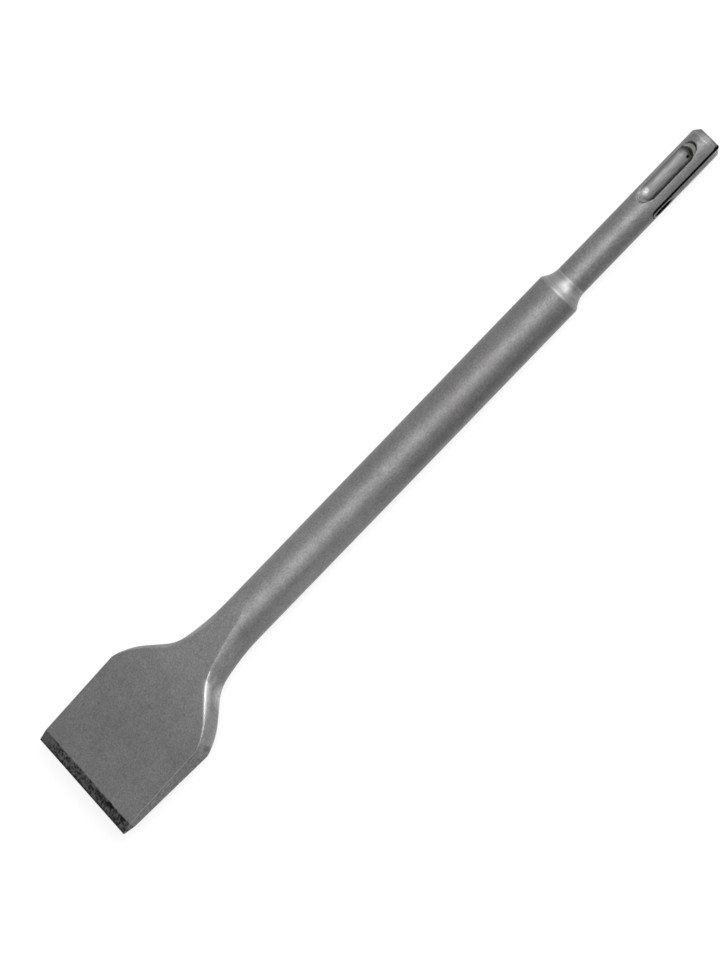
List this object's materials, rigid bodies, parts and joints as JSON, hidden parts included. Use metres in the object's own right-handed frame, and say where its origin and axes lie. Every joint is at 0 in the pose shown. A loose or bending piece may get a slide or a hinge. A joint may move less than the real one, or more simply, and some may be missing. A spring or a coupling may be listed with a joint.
{
  "type": "flat chisel",
  "caption": "Flat forged steel chisel with a slotted round shank for a rotary hammer, a round body and a spread flat blade with a ground cutting edge.",
  "frame": {"origin": "centre of the shank's end face, where the hammer strikes", "axes": "+X along the tool's axis towards the cutting edge, +Y across the blade, +Z out of the blade's upper face"},
  "size_m": [0.26, 0.0404, 0.014],
  "materials": {
    "forged_steel": "sand-blasted mid grey, satin, darker on the ground bevels"
  },
  "bodies": {
    "root": {"flat_chisel": "forged_steel"}
  },
  "joints": []
}
